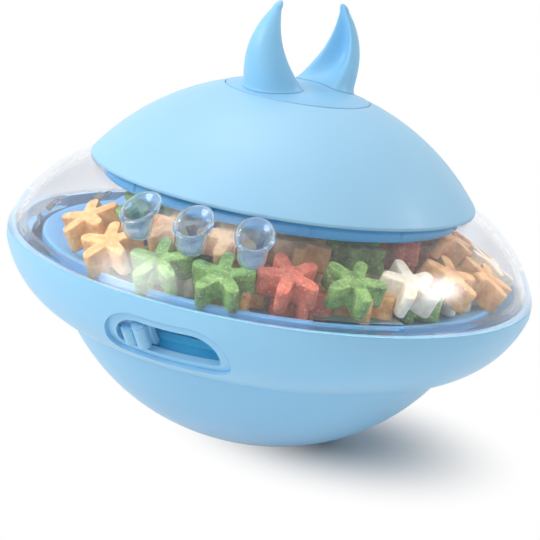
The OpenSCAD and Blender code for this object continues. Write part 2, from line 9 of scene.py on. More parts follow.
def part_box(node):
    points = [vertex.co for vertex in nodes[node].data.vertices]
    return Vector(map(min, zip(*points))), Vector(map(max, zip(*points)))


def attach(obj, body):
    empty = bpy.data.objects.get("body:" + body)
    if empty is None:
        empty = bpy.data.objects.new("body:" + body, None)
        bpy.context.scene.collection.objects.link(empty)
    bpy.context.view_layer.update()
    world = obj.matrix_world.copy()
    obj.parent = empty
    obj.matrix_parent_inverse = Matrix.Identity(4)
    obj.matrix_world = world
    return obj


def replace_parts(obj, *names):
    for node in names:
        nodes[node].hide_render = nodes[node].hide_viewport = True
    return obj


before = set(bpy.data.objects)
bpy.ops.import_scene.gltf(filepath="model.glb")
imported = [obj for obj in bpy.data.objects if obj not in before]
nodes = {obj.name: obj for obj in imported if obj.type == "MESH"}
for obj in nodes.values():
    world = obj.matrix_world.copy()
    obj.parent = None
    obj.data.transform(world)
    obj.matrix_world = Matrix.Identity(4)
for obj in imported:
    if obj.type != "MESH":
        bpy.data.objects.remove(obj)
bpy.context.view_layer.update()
scene = bpy.context.scene

# Blender counts in metres. The object's named sizes are in mm, and MM turns them into metres
MM = 0.001


# Materials

EDGE_RADIUS = 0.35 * MM
# Most values of a noise texture lie between these two
NOISE_LOW = 0.3
NOISE_HIGH = 0.7


def srgb(red, green, blue):
    """Linear colour of an 8-bit screen colour."""
    linear = []
    for value in (red, green, blue):
        c = value / 255
        linear.append(c / 12.92 if c <= 0.04045 else ((c + 0.055) / 1.055) ** 2.4)
    return (*linear, 1.0)


def shade(colour, factor):
    """Lighter or darker colour of the same hue."""
    return (*[min(1.0, c * factor) for c in colour[:3]], 1.0)


def start_material(name):
    material = bpy.data.materials.new(name)
    material.use_nodes = True
    tree = material.node_tree
    return material, tree, tree.nodes["Principled BSDF"]


def add_noise(tree, coords, scale, detail):
    noise = tree.nodes.new("ShaderNodeTexNoise")
    noise.inputs["Scale"].default_value = scale
    noise.inputs["Detail"].default_value = detail
    tree.links.new(coords.outputs["Object"], noise.inputs["Vector"])
    return noise


def add_ramp(tree, source, low, high, start=NOISE_LOW, end=NOISE_HIGH):
    ramp = tree.nodes.new("ShaderNodeValToRGB")
    ramp.color_ramp.elements[0].position = start
    ramp.color_ramp.elements[0].color = low
    ramp.color_ramp.elements[1].position = end
    ramp.color_ramp.elements[1].color = high
    tree.links.new(source, ramp.inputs["Fac"])
    return ramp


def add_range(tree, source, low, high, start=NOISE_LOW, end=NOISE_HIGH):
    spread = tree.nodes.new("ShaderNodeMapRange")
    spread.inputs["From Min"].default_value = start
    spread.inputs["From Max"].default_value = end
    spread.inputs["To Min"].default_value = low
    spread.inputs["To Max"].default_value = high
    tree.links.new(source, spread.inputs["Value"])
    return spread


def add_bump(tree, bsdf, source, strength, distance, soften=0.0):
    """Fine relief from a texture, with the edges softened by a small radius where one is given."""
    bump = tree.nodes.new("ShaderNodeBump")
    bump.inputs["Strength"].default_value = strength
    bump.inputs["Distance"].default_value = distance
    tree.links.new(source, bump.inputs["Height"])
    tree.links.new(bump.outputs["Normal"], bsdf.inputs["Normal"])
    if soften > 0:
        edge = tree.nodes.new("ShaderNodeBevel")
        edge.samples = 4
        edge.inputs["Radius"].default_value = soften
        tree.links.new(edge.outputs["Normal"], bump.inputs["Normal"])


def moulded(name, colour, roughness, grain, coat=0.0, scatter=0.0, soften=EDGE_RADIUS):
    """Moulded plastic or rubber: faint colour drift, patchy gloss and fine grain."""
    material, tree, bsdf = start_material(name)
    coords = tree.nodes.new("ShaderNodeTexCoord")
    drift = add_noise(tree, coords, scale=22.0, detail=2.0)
    tint = add_ramp(tree, drift.outputs["Fac"], shade(colour, 0.96), shade(colour, 1.03))
    tree.links.new(tint.outputs["Color"], bsdf.inputs["Base Color"])
    patches = add_noise(tree, coords, scale=140.0, detail=4.0)
    gloss = add_range(tree, patches.outputs["Fac"], roughness - 0.04, roughness + 0.05)
    tree.links.new(gloss.outputs["Result"], bsdf.inputs["Roughness"])
    texture = add_noise(tree, coords, scale=2600.0, detail=3.0)
    add_bump(tree, bsdf, texture.outputs["Fac"], strength=grain, distance=0.06 * MM, soften=soften)
    bsdf.inputs["IOR"].default_value = 1.5
    bsdf.inputs["Coat Weight"].default_value = coat
    bsdf.inputs["Coat Roughness"].default_value = 0.12
    bsdf.inputs["Subsurface Weight"].default_value = scatter
    bsdf.inputs["Subsurface Scale"].default_value = 2 * MM
    return material


def clear_plastic(name, tint, bend, clarity, skin):
    """Polished clear plastic: a tint, a bend of the view, and a glossy skin with slight flow marks."""
    material, tree, bsdf = start_material(name)
    coords = tree.nodes.new("ShaderNodeTexCoord")
    bsdf.inputs["Base Color"].default_value = tint
    bsdf.inputs["Transmission Weight"].default_value = clarity
    bsdf.inputs["IOR"].default_value = bend
    bsdf.inputs["Coat Weight"].default_value = 1.0
    bsdf.inputs["Coat IOR"].default_value = 1.5
    bsdf.inputs["Coat Roughness"].default_value = skin
    haze = add_noise(tree, coords, scale=60.0, detail=3.0)
    gloss = add_range(tree, haze.outputs["Fac"], 0.01, 0.05)
    tree.links.new(gloss.outputs["Result"], bsdf.inputs["Roughness"])
    flow = add_noise(tree, coords, scale=45.0, detail=1.0)
    add_bump(tree, bsdf, flow.outputs["Fac"], strength=0.01, distance=0.2 * MM)
    path = tree.nodes.new("ShaderNodeLightPath")
    through = tree.nodes.new("ShaderNodeBsdfTransparent")
    through.inputs["Color"].default_value = tint
    mix = tree.nodes.new("ShaderNodeMixShader")
    output = tree.nodes["Material Output"]
    tree.links.new(path.outputs["Is Shadow Ray"], mix.inputs["Fac"])
    tree.links.new(bsdf.outputs["BSDF"], mix.inputs[1])
    tree.links.new(through.outputs["BSDF"], mix.inputs[2])
    tree.links.new(mix.outputs["Shader"], output.inputs["Surface"])
    return material


def zinc_steel(name):
    """Zinc-plated steel: stained, with a fine grain."""
    material, tree, bsdf = start_material(name)
    coords = tree.nodes.new("ShaderNodeTexCoord")
    bsdf.inputs["Metallic"].default_value = 1.0
    stains = add_noise(tree, coords, scale=180.0, detail=5.0)
    tint = add_ramp(tree, stains.outputs["Fac"], srgb(150, 153, 158), srgb(196, 198, 200))
    tree.links.new(tint.outputs["Color"], bsdf.inputs["Base Color"])
    gloss = add_range(tree, stains.outputs["Fac"], 0.28, 0.45)
    tree.links.new(gloss.outputs["Result"], bsdf.inputs["Roughness"])
    texture = add_noise(tree, coords, scale=1500.0, detail=2.0)
    add_bump(tree, bsdf, texture.outputs["Fac"], strength=0.12, distance=0.05 * MM)
    return material


def biscuit(name, light, dark):
    """Dry baked treat: mottled, with a crumbly skin and pale specks."""
    material, tree, bsdf = start_material(name)
    coords = tree.nodes.new("ShaderNodeTexCoord")
    mottle = add_noise(tree, coords, scale=420.0, detail=6.0)
    tint = add_ramp(tree, mottle.outputs["Fac"], dark, light, start=0.30, end=0.58)
    speck = add_noise(tree, coords, scale=1900.0, detail=2.0)
    amount = add_range(tree, speck.outputs["Fac"], 0.0, 0.55, start=0.60, end=0.72)
    mix = tree.nodes.new("ShaderNodeMix")
    mix.data_type = "RGBA"
    mix.inputs["B"].default_value = srgb(255, 244, 220)
    tree.links.new(amount.outputs["Result"], mix.inputs["Factor"])
    tree.links.new(tint.outputs["Color"], mix.inputs["A"])
    tree.links.new(mix.outputs["Result"], bsdf.inputs["Base Color"])
    gloss = add_range(tree, mottle.outputs["Fac"], 0.75, 0.55)
    tree.links.new(gloss.outputs["Result"], bsdf.inputs["Roughness"])
    crumbs = add_noise(tree, coords, scale=950.0, detail=5.0)
    add_bump(tree, bsdf, crumbs.outputs["Fac"], strength=0.8, distance=0.5 * MM)
    bsdf.inputs["Subsurface Weight"].default_value = 0.1
    bsdf.inputs["Subsurface Scale"].default_value = 1 * MM
    return material


shell_blue = moulded("shell_blue", srgb(152, 211, 246), roughness=0.36, grain=0.10, coat=0.1)
dome_blue = moulded("dome_blue", srgb(162, 214, 246), roughness=0.45, grain=0.08, coat=0.03)
plate_blue = moulded("plate_blue", srgb(148, 206, 244), roughness=0.40, grain=0.10)
horn_blue = moulded("horn_blue", srgb(144, 208, 246), roughness=0.42, grain=0.12, scatter=0.05, soften=0.0)
tray_blue = moulded("tray_blue", srgb(104, 176, 226), roughness=0.40, grain=0.12)
gate_blue = moulded("gate_blue", srgb(150, 206, 240), roughness=0.40, grain=0.12)
slot_blue = moulded("slot_blue", srgb(84, 194, 240), roughness=0.42, grain=0.12)
ring_blue = moulded("ring_blue", srgb(50, 176, 244), roughness=0.42, grain=0.12)
ink_grey = moulded("ink_grey", srgb(140, 141, 145), roughness=0.55, grain=0.2)
clear = clear_plastic("clear_plastic", srgb(246, 246, 248), bend=1.02, clarity=1.0, skin=0.22)
clear_cup = clear_plastic("clear_cup", srgb(206, 230, 248), bend=1.24, clarity=0.86, skin=0.05)
steel = zinc_steel("zinc_steel")

FINISHES = {
    shell_blue: ["base_shell", "horn_clamp"],
    dome_blue: ["dome_lid"],
    plate_blue: ["horn_plate"],
    horn_blue: ["horn_left", "horn_right"],
    tray_blue: ["treat_tray", "outlet_hood"],
    gate_blue: ["outlet_gate"],
    slot_blue: ["outlet_chute"],
    ring_blue: ["lid_ring"],
    clear: ["clear_cover"],
    clear_cup: ["porthole_left", "porthole_middle", "porthole_right"],
    steel: ["counterweight", "weight_screw", "chute_screws", "tray_screws", "clamp_screws"],
}


# Smooth shading of the solids, with their real edges kept sharp

SHARP_DEG = 32
WELD = 2e-3 * MM


def smooth_group(limit_deg):
    """Geometry nodes that weld the facets, shade them smooth and keep edges above a limit sharp."""
    group = bpy.data.node_groups.new("smooth_finish", "GeometryNodeTree")
    group.interface.new_socket("Geometry", in_out="INPUT", socket_type="NodeSocketGeometry")
    group.interface.new_socket("Geometry", in_out="OUTPUT", socket_type="NodeSocketGeometry")
    start = group.nodes.new("NodeGroupInput")
    end = group.nodes.new("NodeGroupOutput")
    strip = group.nodes.new("GeometryNodeRemoveAttribute")
    strip.inputs["Name"].default_value = "custom_normal"
    weld = group.nodes.new("GeometryNodeMergeByDistance")
    weld.inputs["Distance"].default_value = WELD
    faces = group.nodes.new("GeometryNodeSetShadeSmooth")
    edges = group.nodes.new("GeometryNodeSetShadeSmooth")
    edges.domain = "EDGE"
    edges.inputs["Shade Smooth"].default_value = False
    angle = group.nodes.new("GeometryNodeInputMeshEdgeAngle")
    sharp = group.nodes.new("FunctionNodeCompare")
    sharp.inputs[1].default_value = math.radians(limit_deg)
    chain = [start, strip, weld, faces, edges, end]
    for before, after in zip(chain, chain[1:]):
        group.links.new(before.outputs[0], after.inputs[0])
    group.links.new(angle.outputs["Unsigned Angle"], sharp.inputs[0])
    group.links.new(sharp.outputs["Result"], edges.inputs["Selection"])
    return group


smooth = smooth_group(SHARP_DEG)
for material, names in FINISHES.items():
    for name in names:
        nodes[name].data.materials.clear()
        nodes[name].data.materials.append(material)
        nodes[name].modifiers.new("smooth_finish", "NODES").node_group = smooth


# Helpers for meshes made here

def new_object(name, mesh, material):
    piece = bpy.data.objects.new(name, mesh)
    scene.collection.objects.link(piece)
    mesh.materials.append(material)
    return piece


def radial(az, reach, height):
    """Point at an azimuth in degrees, counted from -Y towards +X."""
    a = math.radians(az)
    return Vector((reach * math.sin(a), -reach * math.cos(a), height))


def add_rings(bm, rings):
    """Joins each ring of vertices to the next one with faces."""
    for lower, upper in zip(rings, rings[1:]):
        for j in range(len(lower)):
            k = (j + 1) % len(lower)
            bm.faces.new((lower[j], lower[k], upper[k], upper[j])).smooth = True


def finished_mesh(name, bm):
    mesh = bpy.data.meshes.new(name)
    bm.to_mesh(mesh)
    bm.free()
    return mesh


# Horns: soft rubber, rings that taper and sway outwards, scooped on the side that faces the other horn

# The dome is a cap of a sphere
LID_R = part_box("dome_lid")[1].x / MM
DOME_RISE = 21.9
DOME_TOP = 80.9
DOME_R = (LID_R ** 2 + DOME_RISE ** 2) / (2 * DOME_RISE)
# How far the horns' feet stand over the dome's sphere, on the plate
PLATE_LIFT = 0.15

HORN_AZ = -24
HORN_DIST = 7.3
# The photograph shows the tips this much lower than the solids have them
HORN_SHORTER = 1.8
HORN_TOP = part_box("horn_left")[1].z / MM - HORN_SHORTER
HORN_W = 7.0
HORN_TAPER = 0.78
HORN_SWAY = 4.7
HORN_SWAY_DEG = 148
HORN_FLARE = 0.5
# Shares of the height: the flare's length, and where the round tip starts
HORN_FLARE_SHARE = 0.03
HORN_CAP = 0.9
# Depth of the outline over its half width, outside and inside
HORN_BACK = 1.04
HORN_FRONT = 0.62
# The scoop: its depth at the foot, what it gains further up, and how it swells, fades and spares the edges
SCOOP_FOOT = 0.4
SCOOP_GAIN = 0.85
SCOOP_SWELL = 0.8
SCOOP_FADE = 0.3
SCOOP_EDGE = 4
HORN_SIDES = 48
# Rings of the mesh: close together up to a share of the height, then even
FOOT_RINGS = 8
FOOT_SHARE = 0.3
UPPER_RINGS = 32
LAST_SHARE = 0.995
# The stem that is held below the dome: radius and height of each step
HORN_STEM = [(0.2, 70.2), (3.5, 70.2), (4.5, 72.0), (3.0, 72.0), (3.0, 79.0)]
HORN_STEM_BACK = 1.6


def horn_half(t):
    """Half width at share t of the height: tapered, with a flared foot and a round tip."""
    if t > HORN_CAP:
        left = (t - HORN_CAP) / (1 - HORN_CAP)
        return HORN_W * (1 - HORN_CAP) ** HORN_TAPER * math.sqrt(max(0, 1 - left ** 2))
    return HORN_W * (1 - t) ** HORN_TAPER + HORN_FLARE * math.exp(-t / HORN_FLARE_SHARE)


def horn_section(t, a):
    """Depth over half width at angle a: round outside, scooped towards the other horn."""
    s = math.sin(a)
    if s <= 0:
        return HORN_BACK * s
    scoop = (SCOOP_FOOT + SCOOP_GAIN * math.sin(math.pi * t) ** SCOOP_SWELL) * (1 - t) ** SCOOP_FADE
    return HORN_FRONT * s - scoop * s ** SCOOP_EDGE


def horn_point(t, a):
    """Point of a horn's skin, whose foot follows the dome's sphere."""
    w = horn_half(t)
    x = w * math.cos(a)
    y = w * horn_section(t, a) - HORN_SWAY * math.sin(math.radians(HORN_SWAY_DEG * t))
    sphere = (DOME_R + PLATE_LIFT) ** 2 - x ** 2 - (y - HORN_DIST) ** 2
    root = DOME_TOP - DOME_R + math.sqrt(sphere)
    return Vector((x, y - HORN_DIST, (1 - t) * root + t * HORN_TOP))


def horn_shares():
    foot = [FOOT_SHARE * (i / FOOT_RINGS) ** 2 for i in range(FOOT_RINGS)]
    rise = LAST_SHARE - FOOT_SHARE
    return foot + [FOOT_SHARE + rise * i / (UPPER_RINGS - 1) for i in range(UPPER_RINGS)]


def make_horn(name, turn_deg):
    turn = Matrix.Rotation(math.radians(turn_deg), 3, "Z")
    bm = bmesh.new()
    angles = [2 * math.pi * j / HORN_SIDES for j in range(HORN_SIDES)]
    rings = [[bm.verts.new(turn @ horn_point(t, a) * MM) for a in angles] for t in horn_shares()]
    add_rings(bm, rings)
    bm.faces.new(rings[0][::-1])
    tip = bm.verts.new(turn @ horn_point(1.0, 0.0) * MM)
    for j in range(HORN_SIDES):
        bm.faces.new((tip, rings[-1][j], rings[-1][(j + 1) % HORN_SIDES])).smooth = True
    foot = Vector((0, -HORN_DIST - HORN_STEM_BACK, 0))
    stem = []
    for r, z in HORN_STEM:
        points = [foot + Vector((r * math.cos(a), r * math.sin(a), z)) for a in angles]
        stem.append([bm.verts.new(turn @ point * MM) for point in points])
    add_rings(bm, stem)
    bm.faces.new(stem[0][::-1])
    horn = new_object(name, finished_mesh(name, bm), horn_blue)
    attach(horn, "lid")
    return horn


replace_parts(make_horn("soft_horn_left", HORN_AZ), "horn_left")
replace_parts(make_horn("soft_horn_right", HORN_AZ + 180), "horn_right")


# Porthole cups: a thin lip that lies on the cover's slope and a round-bottomed cup that hangs straight down

CUP_SIDES = 64
CUP_SLOPE = math.tan(math.radians(35))
CUP_RIM_Z = 55.0
# Outline from the outer bottom over the lip to the inner bottom: radius, height, share of the cover's slope
CUP_OUTSIDE = [
    (0.15, -6.2, 0.0),
    (1.2, -6.1, 0.0),
    (2.1, -5.7, 0.0),
    (2.75, -5.0, 0.05),
    (3.05, -4.1, 0.15),
    (3.15, -2.9, 0.4),
    (3.2, -1.6, 0.8),
    (3.3, -0.2, 1.0),
]
CUP_LIP = [
    (3.75, 0.1, 1.0),
    (4.05, 0.3, 1.0),
    (4.15, 0.65, 1.0),
    (4.05, 1.0, 1.0),
    (3.8, 1.15, 1.0),
    (3.5, 1.1, 1.0),
    (3.2, 0.8, 1.0),
]
CUP_INSIDE = [
    (2.85, 0.2, 1.0),
    (2.6, -0.8, 1.0),
    (2.5, -2.4, 0.6),
    (2.42, -3.6, 0.2),
    (2.1, -4.6, 0.05),
    (1.5, -5.2, 0.0),
    (0.8, -5.45, 0.0),
    (0.15, -5.5, 0.0),
]


def make_cup(name, node):
    """Clear cup in the place of a porthole's solid."""
    low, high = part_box(node)
    middle = (low + high) / 2
    out = Vector((middle.x, middle.y, 0)).normalized()
    along = Vector((-out.y, out.x, 0))
    bm = bmesh.new()
    rings = []
    for r, height, share in CUP_OUTSIDE + CUP_LIP + CUP_INSIDE:
        ring = []
        for j in range(CUP_SIDES):
            a = 2 * math.pi * j / CUP_SIDES
            rise = height - share * CUP_SLOPE * r * math.cos(a)
            spot = Vector((middle.x, middle.y, (CUP_RIM_Z + rise) * MM))
            ring.append(bm.verts.new(spot + (out * math.cos(a) + along * math.sin(a)) * r * MM))
        rings.append(ring)
    add_rings(bm, rings)
    bm.faces.new(rings[0][::-1]).smooth = True
    bm.faces.new(rings[-1]).smooth = True
    cup = new_object(name, finished_mesh(name, bm), clear_cup)
    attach(cup, "cover")
    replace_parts(cup, node)


for side in ("left", "middle", "right"):
    make_cup("cup_" + side, "porthole_" + side)


# Printed lock signs on the clear cover: thin ink that follows the cover's curve

# Outer outline of the cover: the ends of an arc as radius and height, and how far it bulges
COVER_LOW = Vector((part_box("clear_cover")[1].x / MM, 40.8))
COVER_HIGH = Vector((LID_R, 58.0))
COVER_BULGE = 2.6
INK = 0.03
# Azimuth and height of each sign
CLOSED_PLACE = (-41.5, 50.4)
OPEN_PLACE = (-30.0, 55.4)
LOCK_W = 2.5
LOCK_H = 1.9
LOCK_COLUMNS = 5
LOCK_ROWS = 4
SHACKLE_R = 0.85
SHACKLE_IN = 0.5
SHACKLE_LEG = 0.45
SHACKLE_GAP = 0.08
SHACKLE_STEPS = 12
# Where the open lock's shackle stands, and its lean in radians
OPEN_SHIFT = 0.95
OPEN_LEAN = -0.35


def cover_point(az, height, u, v, lift):
    """Point on the cover's outside, u mm round and v mm up the slope from an azimuth and a height."""
    chord = COVER_HIGH - COVER_LOW
    radius = (chord.length ** 2 / 4 + COVER_BULGE ** 2) / (2 * COVER_BULGE)
    out = Vector((chord.y, -chord.x)).normalized()
    centre = (COVER_LOW + COVER_HIGH) / 2 - out * (radius - COVER_BULGE)
    slope = math.asin((height - centre.y) / radius) + v / radius
    reach = centre.x + (radius + lift) * math.cos(slope)
    return radial(az + math.degrees(u / reach), reach, centre.y + (radius + lift) * math.sin(slope)) * MM


def arch_points(r, shift, lean):
    """One edge of the shackle, from its left foot over the top to its right foot."""
    points = [(-r, 0.0)]
    for i in range(SHACKLE_STEPS + 1):
        a = math.pi - math.pi * i / SHACKLE_STEPS
        points.append((r * math.cos(a), SHACKLE_LEG + r * math.sin(a)))
    points.append((r, 0.0))
    c = math.cos(lean)
    s = math.sin(lean)
    return [(shift + x * c - y * s, SHACKLE_GAP + x * s + y * c) for x, y in points]


def lock_sign(name, place, shift, lean):
    """Padlock sign: a body and a shackle over it."""
    bm = bmesh.new()

    def spot(u, v):
        return bm.verts.new(cover_point(*place, u, v, INK))

    columns = [LOCK_W * (i / LOCK_COLUMNS - 0.5) for i in range(LOCK_COLUMNS + 1)]
    rows = [LOCK_H * (j / LOCK_ROWS - 1) for j in range(LOCK_ROWS + 1)]
    body = [[spot(u, v) for u in columns] for v in rows]
    for low, high in zip(body, body[1:]):
        for i in range(LOCK_COLUMNS):
            bm.faces.new((low[i], low[i + 1], high[i + 1], high[i]))
    outer = [spot(u, v) for u, v in arch_points(SHACKLE_R, shift, lean)]
    inner = [spot(u, v) for u, v in arch_points(SHACKLE_IN, shift, lean)]
    for i in range(len(outer) - 1):
        bm.faces.new((outer[i], outer[i + 1], inner[i + 1], inner[i]))
    bmesh.ops.recalc_face_normals(bm, faces=bm.faces)
    sign = new_object(name, finished_mesh(name, bm), ink_grey)
    thick = sign.modifiers.new("ink", "SOLIDIFY")
    thick.thickness = 2 * INK * MM
    thick.offset = 0
    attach(sign, "cover")


lock_sign("sign_closed", CLOSED_PLACE, 0.0, 0.0)
lock_sign("sign_open", OPEN_PLACE, OPEN_SHIFT, OPEN_LEAN)


# Treats inside the chamber: star biscuits, laid in rows, the upper ones left to settle

# The settling runs at a larger scale, because the solver is made for larger things
SIM_SCALE = 100.0
SETTLE_FRAMES = 70
SETTLE_GRAVITY = -20
SIM_STAR_SIDES = 20
CHAMBER_SIDES = 120

# One star, in metres
STAR_R = 6.9 * MM
STAR_ARM = 1.5 * MM
STAR_TIP = 1.35 * MM
STAR_HALF = 2.8 * MM
STAR_EDGE = 0.4 * MM
STAR_ARMS = 5
STAR_SIDES = 70
# How tightly the arms flow into each other, and how far round one arm counts, in radians
STAR_BLEND = 8
ARM_SPAN = 1.5
LEAST_SINE = 0.05
# Share of the edge's size at which its rounding has its middle ring
EDGE_EASE = 0.3

TREAT_COLOURS = {
    "orange": biscuit("treat_orange", srgb(248, 192, 124), srgb(216, 142, 80)),
    "green": biscuit("treat_green", srgb(134, 178, 90), srgb(78, 112, 54)),
    "red": biscuit("treat_red", srgb(230, 122, 92), srgb(190, 82, 60)),
    "cream": biscuit("treat_cream", srgb(252, 243, 224), srgb(236, 214, 180)),
}

# Rows of the heap: distance, height, lean in degrees, first and last azimuth, laid or let go, colours
HEAP_ROWS = [
    (41.5, 41.6, 2, -46, 206, True, "orange green cream orange red"),
    (26, 42.4, 2, -20, 194, True, "green orange orange cream red"),
    (27, 48.2, 2, -26, 176, True, "green red orange"),
    (48.5, 44.3, 28, -41, 204, True, "orange orange green green red green cream orange orange cream"),
    (40.6, 50.2, 27, -33, 190, False, "green orange orange green red orange cream orange red"),
    (31.8, 54.9, 27, -40, 176, False, "red orange orange green green green cream cream"),
]
TREAT_PITCH = 13.7
HEAP_SEED = 7
LEAN_SPREAD = 4
HEIGHT_SPREAD = (-0.2, 0.3)
# Rows that lean less than this lie flat
FLAT = 5

# What the loose treats settle on and between, as radius and height
HEAP_SLOPE = [(0.2, 57.0), (17.5, 57.0), (52.1, 39.75), (55.4, 38.1)]
CHAMBER_WALL = [
    (55.6, 39.6),
    (56.1, 43.0),
    (54.4, 46.0),
    (48.6, 47.8),
    (44.2, 52.2),
    (40.8, 53.0),
    (40.8, 110.0),
]

# Limits for a settled treat: azimuth, lowest height, distance, and room below the dome above a height
HEAP_FIRST = -46
HEAP_SPAN = 250
HEAP_LOW = 40
HEAP_REACH = 52
UNDER_DOME = 52
DOME_ROOM = 10
# How far a settled treat is lowered on to the heap, and the inside of the room that the lid's ring needs
SINK = 0.7
RING_IN = 36.0

# The cover's hooks, which need room from their locked place to the end of the cover's turn
HOOK_R = 52.1
HOOK_FIRST = [30, 150, 270]
HOOK_SWEEP = 53
HOOK_MARGIN = 3
HOOK_PULL = 3.4
# Azimuth that half a star takes up beyond the margin
STAR_TURN = 5


def star_radius(a):
    """Distance from the centre to the outline: five round-ended arms that flow into each other."""
    total = 0.0
    length = STAR_R - STAR_TIP
    taper = (STAR_ARM - STAR_TIP) / length
    for arm in range(STAR_ARMS):
        turn = abs((a - 2 * math.pi * arm / STAR_ARMS + math.pi) % (2 * math.pi) - math.pi)
        if turn > ARM_SPAN:
            continue
        along = math.cos(turn)
        across = math.sin(turn)
        side = STAR_ARM / (max(across, LEAST_SINE) + taper * along)
        if side * along > length:
            side = length * along + math.sqrt(max(0, STAR_TIP ** 2 - (length * across) ** 2))
        total += (side / STAR_R) ** STAR_BLEND
    return STAR_R * total ** (1 / STAR_BLEND)


def star_mesh(name, around, scale):
    """Flat star biscuit with eased edges."""
    bm = bmesh.new()
    rise = STAR_HALF - STAR_EDGE
    edge = [
        (rise - STAR_EDGE, 0),
        (rise, 0),
        (rise + (1 - EDGE_EASE) * STAR_EDGE, EDGE_EASE * STAR_EDGE),
        (STAR_HALF, STAR_EDGE),
    ]
    levels = [(-height, inset) for height, inset in reversed(edge)] + edge
    rings = []
    for height, inset in levels:
        ring = []
        for j in range(around):
            a = 2 * math.pi * j / around
            r = (star_radius(a) - inset) * scale
            ring.append(bm.verts.new((r * math.cos(a), r * math.sin(a), height * scale)))
        rings.append(ring)
    add_rings(bm, rings)
    for ring, sign in ((rings[0], -1), (rings[-1], 1)):
        middle = bm.verts.new((0, 0, sign * STAR_HALF * scale))
        for j in range(around):
            k = (j + 1) % around
            corners = (middle, ring[j], ring[k])
            bm.faces.new(corners if sign > 0 else corners[::-1])
    return finished_mesh(name, bm)


def near_hook(az, margin):
    """True where a hook of the cover sits or passes when the cover turns."""
    return any((az - first + margin) % 360 < HOOK_SWEEP + 2 * margin for first in HOOK_FIRST)


def chamber_mesh(name, profile, steps):
    """Slope and walls round the heap, drawn in where the cover's hooks need room."""
    bm = bmesh.new()
    rings = []
    for r, z in profile:
        ring = []
        for j in range(steps):
            az = 360 * j / steps
            reach = min(r, HOOK_R) if near_hook(az, HOOK_MARGIN) else r
            ring.append(bm.verts.new(radial(az, reach, z) * MM * SIM_SCALE))
        rings.append(ring)
    add_rings(bm, rings)
    return finished_mesh(name, bm)


def add_body(piece, kind, shape):
    bpy.context.view_layer.objects.active = piece
    bpy.ops.rigidbody.object_add()
    body = piece.rigid_body
    body.type = kind
    body.collision_shape = shape
    body.use_margin = True
    body.collision_margin = 0.01
    body.friction = 1.2
    body.restitution = 0.0
    if kind == "ACTIVE":
        body.mass = 1.0
        body.linear_damping = 0.25
        body.angular_damping = 0.35


def heap_start():
    """Colour, place and turn of each treat, and whether it is laid or let go to settle on the slope."""
    rng = random.Random(HEAP_SEED)
    starts = []
    for reach, height, lean, first, last, laid, colours in HEAP_ROWS:
        row = colours.split()
        count = 0
        az = first
        while az < last:
            along = radial(az + 90, 1, 0)
            tip = Quaternion(along, math.radians(lean + rng.uniform(-LEAN_SPREAD, LEAN_SPREAD)))
            spin = Quaternion((0, 0, 1), rng.uniform(0, 2 * math.pi))
            pull = HOOK_PULL if lean > FLAT and near_hook(az, HOOK_MARGIN + STAR_TURN) else 0
            spot = radial(az, reach - pull, height + pull / 2 + rng.uniform(*HEIGHT_SPREAD)) * MM
            starts.append((row[count % len(row)], spot, tip @ spin, laid))
            count += 1
            az += math.degrees(TREAT_PITCH / (reach - pull))
    return starts


def settle(starts):
    """Lets the loose treats drop on the heap and returns where each one comes to rest."""
    bpy.ops.rigidbody.world_add()
    world = scene.rigidbody_world
    world.substeps_per_frame = 10
    world.solver_iterations = 20
    old_gravity = scene.gravity.copy()
    scene.gravity = (0, 0, SETTLE_GRAVITY)
    world.point_cache.frame_end = SETTLE_FRAMES
    walls = chamber_mesh("chamber", HEAP_SLOPE + CHAMBER_WALL, CHAMBER_SIDES)
    chamber = bpy.data.objects.new("chamber", walls)
    scene.collection.objects.link(chamber)
    add_body(chamber, "PASSIVE", "MESH")
    shape = star_mesh("sim_star", SIM_STAR_SIDES, SIM_SCALE)
    treats = []
    for _, spot, turn, laid in starts:
        treat = bpy.data.objects.new("sim_treat", shape)
        scene.collection.objects.link(treat)
        treat.location = spot * SIM_SCALE
        treat.rotation_mode = "QUATERNION"
        treat.rotation_quaternion = turn
        add_body(treat, "PASSIVE" if laid else "ACTIVE", "CONVEX_HULL")
        treats.append(treat)
    for step in range(1, SETTLE_FRAMES + 1):
        scene.frame_set(step)
    depsgraph = bpy.context.evaluated_depsgraph_get()
    places = [treat.evaluated_get(depsgraph).matrix_world.copy() for treat in treats]
    bpy.ops.rigidbody.world_remove()
    for piece in treats + [chamber]:
        bpy.data.objects.remove(piece)
    scene.frame_set(1)
    scene.gravity = old_gravity
    return places


def in_chamber(spot):
    """True for a treat that came to rest on the heap, clear of the dome above it."""
    az = math.degrees(math.atan2(spot.x, -spot.y))
    reach = math.hypot(spot.x, spot.y)
    if spot.z < HEAP_LOW * MM or reach > HEAP_REACH * MM or (az - HEAP_FIRST) % 360 > HEAP_SPAN:
        return False
    from_dome = (spot / MM - Vector((0, 0, DOME_TOP - DOME_R))).length
    return spot.z < UNDER_DOME * MM or from_dome < DOME_R - DOME_ROOM


def meets_ring(mesh):
    """True for a treat that reaches into the ring below the dome."""
    low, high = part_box("lid_ring")
    for vertex in mesh.vertices:
        reach = math.hypot(vertex.co.x, vertex.co.y)
        if vertex.co.z > low.z and RING_IN * MM < reach < high.x:
            return True
    return False


